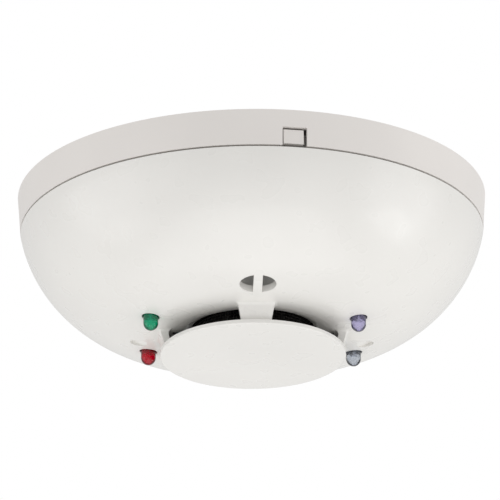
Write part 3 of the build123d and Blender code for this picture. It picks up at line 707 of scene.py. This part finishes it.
# ---------------------------------------------------------------- screws
def screw_mesh(name, head_radius, head_height, shank_radius, shank_length, thread_pitch, recess):
    """Pan-head screw pointing up from Z = 0, with a cross recess and thread ridges."""
    edge = head_height * 0.35
    crown = head_height * 0.12
    outline = [(0.0, -head_height), (head_radius - edge, -head_height + crown)]
    outline += arc_points(head_radius - edge, -head_height + crown + edge, edge, -90.0, 0.0, 5)[1:]
    chamfer, neck, root = 0.08 * MM, shank_radius * 0.86, shank_radius * 0.8
    outline += [(head_radius, -chamfer), (head_radius - chamfer, 0.0), (neck, 0.0)]
    thread_start, plain_length, tip_chamfer = 0.3 * MM, 0.4 * MM, 0.1 * MM
    for turn in range(int((shank_length - plain_length) / thread_pitch)):
        foot = thread_start + turn * thread_pitch
        outline += [(root, foot), (shank_radius, foot + thread_pitch * 0.42),
                    (shank_radius, foot + thread_pitch * 0.58)]
    outline += [(root, shank_length - tip_chamfer), (shank_radius * 0.6, shank_length), (0.0, shank_length)]
    bm = bmesh.new()
    add_lathe(bm, outline, (0.0, 0.0, 0.0), 40)
    bmesh.ops.recalc_face_normals(bm, faces=bm.faces)
    screw = mesh_object(name, bm)
    cutter = recess_cutter(head_radius, head_height, recess)
    modifier = screw.modifiers.new("recess", "BOOLEAN")
    modifier.object = cutter
    modifier.operation = "DIFFERENCE"
    modifier.solver = "EXACT"
    bpy.context.view_layer.update()
    evaluated = screw.evaluated_get(bpy.context.evaluated_depsgraph_get())
    cut = bpy.data.meshes.new_from_object(evaluated)
    bpy.data.objects.remove(cutter)
    screw.modifiers.clear()
    screw.data = cut
    return screw


def recess_cutter(head_radius, head_height, recess):
    """Tapered cross that cuts a driver recess."""
    bm = bmesh.new()
    depth, overshoot = head_height * 0.6, 0.3 * MM
    arm, half, taper = head_radius * 0.62, recess / 2, 0.72
    plan = []
    for quarter in range(4):
        turn = Matrix.Rotation(quarter * pi / 2, 2)
        plan += [turn @ Vector(point) for point in ((arm, -half), (arm, half), (half, half))]
    wide = [bm.verts.new((point.x, point.y, -head_height - overshoot)) for point in plan]
    narrow = [bm.verts.new((point.x * taper, point.y * taper, -head_height + depth)) for point in plan]
    count = len(plan)
    for k in range(count):
        after = (k + 1) % count
        bm.faces.new((wide[k], wide[after], narrow[after], narrow[k]))
    bm.faces.new(list(reversed(wide)))
    bm.faces.new(narrow)
    bmesh.ops.recalc_face_normals(bm, faces=bm.faces)
    return mesh_object("recess_cutter", bm)


def screw_tree():
    """Copies one screw to evenly spaced places on a circle, each turned its own way."""
    bench, given = new_tree("screws_on_a_circle", {
        "Screw": "Object", "Count": "Int", "Circle Radius": "Float", "First Angle": "Float", "Seat": "Float",
        "Seed": "Int"})
    stations = stacked_points(bench, given["Count"])
    index = bench.add("GeometryNodeInputIndex").outputs[0]
    step = bench.math("DIVIDE", tau, given["Count"])
    angle = bench.math("ADD", bench.math("MULTIPLY", index, step), given["First Angle"])
    x = bench.math("MULTIPLY", bench.math("COSINE", angle), given["Circle Radius"])
    y = bench.math("MULTIPLY", bench.math("SINE", angle), given["Circle Radius"])
    place = bench.add("ShaderNodeCombineXYZ", {"X": x, "Y": y, "Z": given["Seat"]}).outputs[0]
    placed = bench.add("GeometryNodeSetPosition", {"Geometry": stations, "Position": place}).outputs[0]
    source = bench.add("GeometryNodeObjectInfo", {"Object": given["Screw"]}).outputs["Geometry"]
    spin = bench.add("FunctionNodeRandomValue", {"Seed": given["Seed"]}, data_type="FLOAT")
    bench.feed(spin.inputs[3], pi / 2)
    rotation = bench.add("ShaderNodeCombineXYZ", {"Z": spin.outputs[1]}).outputs[0]
    screws = bench.add("GeometryNodeInstanceOnPoints", {"Points": placed, "Instance": source,
                                                        "Rotation": rotation}).outputs[0]
    return close_tree(bench, given, screws)


# node, new name, body, first angle in degrees, head radius, head height, shank radius, seed
SCREW_SETS = (
    ("terminal_screws", "terminal_screw_set", "base", 45.0, 3.5 * MM, 2.2 * MM, 1.7 * MM, 1),
    ("board_screws", "board_screw_set", "head", 20.0, 2.8 * MM, 1.9 * MM, 1.1 * MM, 2),
)
SCREWS_IN_A_SET = 4


class DETECTOR_OT_screws(Operator):
    """Sets the terminal screws and the board screws"""
    bl_idname = "detector.screws"
    bl_label = "Screws"

    def execute(self, context):
        sizes = context.scene.detector_sizes
        tree = screw_tree()
        for node, name, body, first, head_radius, head_height, shank_radius, seed in SCREW_SETS:
            low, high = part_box(node)
            seat = low.z + head_height
            circle = (high.x - head_radius) / cos(radians(first))
            screw = screw_mesh(f"{name}_pattern", head_radius, head_height, shank_radius, high.z - seat,
                               sizes.thread_pitch, sizes.recess_width)
            piece = grow(name, tree, {
                "Screw": screw, "Count": SCREWS_IN_A_SET, "Circle Radius": circle,
                "First Angle": radians(first), "Seat": seat, "Seed": seed, "Material": finish("screw_steel")})
            bpy.data.objects.remove(screw)
            smooth(piece, 32.0)
            complete(piece, body, "screw_steel", node)
        return {"FINISHED"}


# ---------------------------------------------------------------- sensing chamber
def vane_mesh(width, reach, height):
    """One upright vane with a bent, round-nosed plan, standing on Z = 0."""
    bm = bmesh.new()
    plan = [(-reach, -0.35 * width), (-0.25 * reach, 0.55 * width), (0.55 * reach, 0.3 * width),
            (reach, -0.55 * width), (0.55 * reach, -0.75 * width), (-0.25 * reach, -0.5 * width),
            (-0.85 * reach, -1.25 * width)]
    lower = [bm.verts.new((x, y, 0.0)) for x, y in plan]
    upper = [bm.verts.new((x, y, height)) for x, y in plan]
    count = len(plan)
    for k in range(count):
        after = (k + 1) % count
        bm.faces.new((lower[k], lower[after], upper[after], upper[k]))
    bm.faces.new(list(reversed(lower)))
    bm.faces.new(upper)
    bmesh.ops.recalc_face_normals(bm, faces=bm.faces)
    upright = [edge for edge in bm.edges if abs(edge.verts[0].co.z - edge.verts[1].co.z) > height / 2]
    rounding = 0.2 * MM
    bmesh.ops.bevel(bm, geom=upright, offset=rounding, segments=2, affect="EDGES", profile=0.5)
    return mesh_object("vane_pattern", bm)


def vane_tree():
    """Two rings of vanes, the inner ones leaning against the outer ones."""
    bench, given = new_tree("labyrinth_vanes", {
        "Vane": "Object", "Count": "Int", "Outer Radius": "Float", "Inner Radius": "Float", "Level": "Float"})
    source = bench.add("GeometryNodeObjectInfo", {"Object": given["Vane"]}).outputs["Geometry"]
    step = bench.math("DIVIDE", tau, given["Count"])
    joined = bench.add("GeometryNodeJoinGeometry")
    lean_angle = radians(38.0)
    for radius, lean, shift in ((given["Outer Radius"], lean_angle, 0.0),
                                (given["Inner Radius"], -lean_angle, 0.5)):
        stations = stacked_points(bench, given["Count"])
        index = bench.add("GeometryNodeInputIndex").outputs[0]
        angle = bench.math("MULTIPLY", bench.math("ADD", index, shift), step)
        x = bench.math("MULTIPLY", bench.math("COSINE", angle), radius)
        y = bench.math("MULTIPLY", bench.math("SINE", angle), radius)
        place = bench.add("ShaderNodeCombineXYZ", {"X": x, "Y": y, "Z": given["Level"]}).outputs[0]
        placed = bench.add("GeometryNodeSetPosition", {"Geometry": stations, "Position": place})
        rotation = bench.add("ShaderNodeCombineXYZ", {"Z": bench.math("ADD", angle, lean)}).outputs[0]
        vanes = bench.add("GeometryNodeInstanceOnPoints", {"Points": placed.outputs[0], "Instance": source,
                                                           "Rotation": rotation}).outputs[0]
        bench.tree.links.new(vanes, joined.inputs[0])
    return close_tree(bench, given, joined.outputs[0])


class DETECTOR_OT_labyrinth(Operator):
    """Builds the labyrinth's floor and its two rings of vanes"""
    bl_idname = "detector.labyrinth"
    bl_label = "Labyrinth"

    def execute(self, context):
        sizes = context.scene.detector_sizes
        low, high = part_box("labyrinth")
        radius = high.x
        floor_thickness, vane_reach = 1.4 * MM, 2.2 * MM
        outer_inset, inner_inset = 2.9 * MM, 6.4 * MM
        floor_top = low.z + floor_thickness
        vane = vane_mesh(sizes.vane_width, vane_reach, high.z - floor_top)
        vanes = grow("labyrinth_vanes", vane_tree(), {
            "Vane": vane, "Count": sizes.vane_count, "Outer Radius": radius - outer_inset,
            "Inner Radius": radius - inner_inset, "Level": floor_top, "Material": finish("chamber_black")})
        bpy.data.objects.remove(vane)
        smooth(vanes, 40.0)
        soft = 0.3 * MM
        outline = [(0.0, low.z)] + arc_points(radius - soft, low.z + soft, soft, -90.0, 0.0, 3)
        outline += arc_points(radius - soft, floor_top - soft, soft, 0.0, 90.0, 3) + [(0.0, floor_top)]
        bm = bmesh.new()
        add_lathe(bm, outline, (0.0, 0.0, 0.0), 96)
        bmesh.ops.recalc_face_normals(bm, faces=bm.faces)
        floor = smooth(mesh_object("labyrinth_floor", bm), 40.0)
        complete(floor, "head", "chamber_black")
        complete(vanes, "head", "chamber_black", "labyrinth")
        return {"FINISHED"}


# ---------------------------------------------------------------- heat sensors
def sensor_bead(name, foot, bead):
    """Drop of glass that runs up into a short neck; foot is the drop's middle."""
    x, y, centre = foot
    outline = arc_points(0.0, centre, bead, -90.0, 40.0, 12)
    outline += [(bead * 0.62, centre + bead * 0.95), (bead * 0.45, centre + bead * 1.5),
                (0.0, centre + bead * 1.7)]
    bm = bmesh.new()
    add_lathe(bm, outline, (x, y, 0.0), 32)
    bmesh.ops.recalc_face_normals(bm, faces=bm.faces)
    return smooth(mesh_object(name, bm), 50.0)


def sensor_leads(name, foot, bead, top, steps=12):
    """Two wires that leave the bead close together and spread a little on the way up."""
    x, y, centre = foot
    near, spread_out, wire_radius = 0.22, 0.33, 0.2 * MM
    start = centre + 0.4 * bead
    bm = bmesh.new()
    for side in (-1, 1):
        path = []
        for share in (k / steps for k in range(steps + 1)):
            offset = (near + spread_out * min(share * 4, 1.0)) * MM
            path.append((x + side * offset, y, start + (top - start) * share))
        add_tube(bm, path, wire_radius, 10)
    bmesh.ops.recalc_face_normals(bm, faces=bm.faces)
    return smooth(mesh_object(name, bm), 40.0)


class DETECTOR_OT_heat_sensors(Operator):
    """Makes the glass bead and the sprung leads behind each heat window"""
    bl_idname = "detector.heat_sensors"
    bl_label = "Heat Sensors"

    def execute(self, context):
        for place in ("front", "rear"):
            node = f"heat_sensor_{place}"
            low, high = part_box(node)
            bead_radius = (high.x - low.x) / 2
            foot = (*middle(low, high), low.z + bead_radius)
            bead = sensor_bead(f"sensor_bead_{place}", foot, bead_radius)
            complete(bead, "head", "bead_glass", node)
            leads = sensor_leads(f"sensor_leads_{place}", foot, bead_radius, high.z)
            complete(leads, "head", "screw_steel")
        return {"FINISHED"}


# ---------------------------------------------------------------- mouldings
class DETECTOR_OT_finishes(Operator):
    """Gives every moulded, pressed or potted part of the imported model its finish"""
    bl_idname = "detector.finishes"
    bl_label = "Finishes"

    def execute(self, context):
        for name, node in frame["nodes"].items():
            for material_slot in node.material_slots:
                material_slot.material = finish(slot_of(name))
        return {"FINISHED"}


# ---------------------------------------------------------------- stage
def aim(thing, place, target):
    """Puts a camera or light at a place, looking at a target."""
    thing.location = place
    thing.rotation_euler = (Vector(target) - Vector(place)).to_track_quat("-Z", "Y").to_euler()


def direction(azimuth, elevation):
    """Unit vector from the detector; azimuth 0 is the front, positive to the right."""
    return Vector((sin(azimuth) * cos(elevation), -cos(azimuth) * cos(elevation), sin(elevation)))


def add_camera(stage, target):
    """Long-lens camera in front of the detector and below it."""
    back = direction(stage.azimuth, stage.elevation)
    across = Vector((cos(stage.azimuth), sin(stage.azimuth), 0.0))
    upward = back.cross(across)
    data = bpy.data.cameras.new("camera")
    data.lens = stage.focal_length
    data.sensor_width = 36.0        # millimetres, a full-frame sensor
    data.clip_end = 20.0
    data.dof.use_dof = False
    camera = bpy.data.objects.new("camera", data)
    bpy.context.scene.collection.objects.link(camera)
    look_at = target + upward * stage.aim_above - across * stage.aim_left
    aim(camera, target + back * stage.distance, look_at)
    turned = camera.rotation_euler.to_matrix() @ Matrix.Rotation(stage.roll, 3, "Z")
    camera.rotation_euler = turned.to_euler()
    bpy.context.scene.camera = camera


def add_light(name, azimuth, elevation, distance, size, power, target):
    """Soft white panel that the camera doesn't see."""
    data = bpy.data.lights.new(name, "AREA")
    data.shape = "RECTANGLE"
    data.size, data.size_y = size
    data.energy = power
    light = bpy.data.objects.new(name, data)
    bpy.context.scene.collection.objects.link(light)
    aim(light, target + direction(radians(azimuth), radians(elevation)) * distance, target)
    light.visible_camera = False


# name, azimuth and elevation in degrees, distance, width and height in metres, power in watts
LIGHTS = (
    ("front_below", 8.0, -50.0, 1.3, (1.6, 1.2), 1.4),
    ("under", 0.0, -80.0, 1.0, (1.2, 1.2), 3.5),
    ("right_soft", 84.0, -31.0, 1.1, (0.50, 0.30), 1.1),
    ("left_soft", -83.0, -36.0, 1.1, (0.50, 0.30), 0.5),
    ("front_strip", -10.0, -8.0, 1.2, (0.10, 0.03), 0.05),
    ("right_wall", 78.0, -10.0, 1.2, (0.90, 0.60), 1.9),
    ("left_wall", -80.0, -12.0, 1.2, (0.90, 0.60), 1.7),
    ("overhead", 150.0, 60.0, 1.4, (1.2, 1.2), 3.0),
)


def floor_finish():
    """Pale painted floor with a faint mottle."""
    material, bench, shader, place = start_material("pale_floor")
    mottle = bench.spread(bench.noise(place, 3.0, 4.0), 0.0, 1.0)
    darker, lighter = (0.84, 0.84, 0.83, 1.0), (0.88, 0.88, 0.87, 1.0)
    bench.feed(shader.inputs["Base Color"], bench.blend(mottle, darker, lighter))
    bench.feed(shader.inputs["Roughness"], bench.spread(bench.noise(place, 12.0), 0.6, 0.75))
    bench.feed(shader.inputs["Normal"], bench.bump(bench.noise(place, 260.0), 0.1, 0.2 * MM))
    return material


def add_floor(level):
    """Round pale floor with a softened rim."""
    radius, rim = 6.0, 0.02
    outline = [(0.0, level), *arc_points(radius, level - rim, rim, 90.0, -90.0, 6), (0.0, level - 2 * rim)]
    bm = bmesh.new()
    add_lathe(bm, outline, (0.0, 0.0, 0.0), 96)
    bmesh.ops.recalc_face_normals(bm, faces=bm.faces)
    floor = smooth(mesh_object("floor", bm), 40.0)
    floor.data.materials.append(floor_finish())
    floor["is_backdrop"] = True


def set_world():
    """Plain white surroundings: full white behind the detector, softer as a source of light."""
    world = bpy.data.worlds.new("white_room")
    bpy.context.scene.world = world
    world.use_nodes = True
    world.node_tree.nodes.clear()
    bench = Bench(world.node_tree)
    as_light, as_backdrop = 0.70, 1.0
    seen = bench.add("ShaderNodeLightPath").outputs["Is Camera Ray"]
    sockets = {"Value": seen, "To Min": as_light, "To Max": as_backdrop}
    strength = bench.add("ShaderNodeMapRange", sockets).outputs["Result"]
    background = bench.add("ShaderNodeBackground", {"Color": (1.0, 1.0, 1.0, 1.0), "Strength": strength})
    bench.add("ShaderNodeOutputWorld", {"Surface": background.outputs[0]})


class DETECTOR_OT_stage(Operator):
    """Sets the floor, the soft lights and the camera"""
    bl_idname = "detector.stage"
    bl_label = "Stage"

    def execute(self, context):
        stage = context.scene.detector_stage
        low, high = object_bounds()
        target = (Vector(low) + Vector(high)) / 2
        target.z = -stage.middle_drop
        add_floor(-stage.floor_drop)
        set_world()
        for name, azimuth, elevation, distance, size, power in LIGHTS:
            add_light(name, azimuth, elevation, distance, size, power, target)
        add_camera(stage, target)
        context.scene.view_settings.view_transform = "Standard"
        return {"FINISHED"}


# ---------------------------------------------------------------- panel and registration
OPERATORS = (
    DETECTOR_OT_finishes,
    DETECTOR_OT_lenses,
    DETECTOR_OT_insect_screen,
    DETECTOR_OT_labyrinth,
    DETECTOR_OT_heat_sensors,
    DETECTOR_OT_screws,
    DETECTOR_OT_stage,
)
GROUPS = {
    "detector_sizes": DetectorSizes,
    "detector_colours": DetectorColours,
    "detector_stage": DetectorStage,
}


class DETECTOR_PT_panel(Panel):
    """Lists the pieces and their sizes"""
    bl_idname = "DETECTOR_PT_panel"
    bl_label = "Ceiling Fire Detector"
    bl_space_type = "VIEW_3D"
    bl_region_type = "UI"
    bl_category = "Detector"

    def draw(self, context):
        for group_name, group in GROUPS.items():
            box = self.layout.box()
            for key in group.__annotations__:
                box.prop(getattr(context.scene, group_name), key)
        for operator in OPERATORS:
            self.layout.operator(operator.bl_idname)


def register():
    for group_name, group in GROUPS.items():
        bpy.utils.register_class(group)
        setattr(bpy.types.Scene, group_name, PointerProperty(type=group))
    for operator in OPERATORS:
        bpy.utils.register_class(operator)
    bpy.utils.register_class(DETECTOR_PT_panel)


def unregister():
    bpy.utils.unregister_class(DETECTOR_PT_panel)
    for operator in reversed(OPERATORS):
        bpy.utils.unregister_class(operator)
    for group_name, group in GROUPS.items():
        delattr(bpy.types.Scene, group_name)
        bpy.utils.unregister_class(group)


def run(operator):
    """Calls one operator by its registered name."""
    family, name = operator.bl_idname.split(".")
    getattr(getattr(bpy.ops, family), name)()


def corners(box):
    """A box's two corners as plain lists."""
    return [[float(value) for value in corner] for corner in box]


def main():
    register()
    for operator in OPERATORS:
        run(operator)


if __name__ == "__main__":
    main()
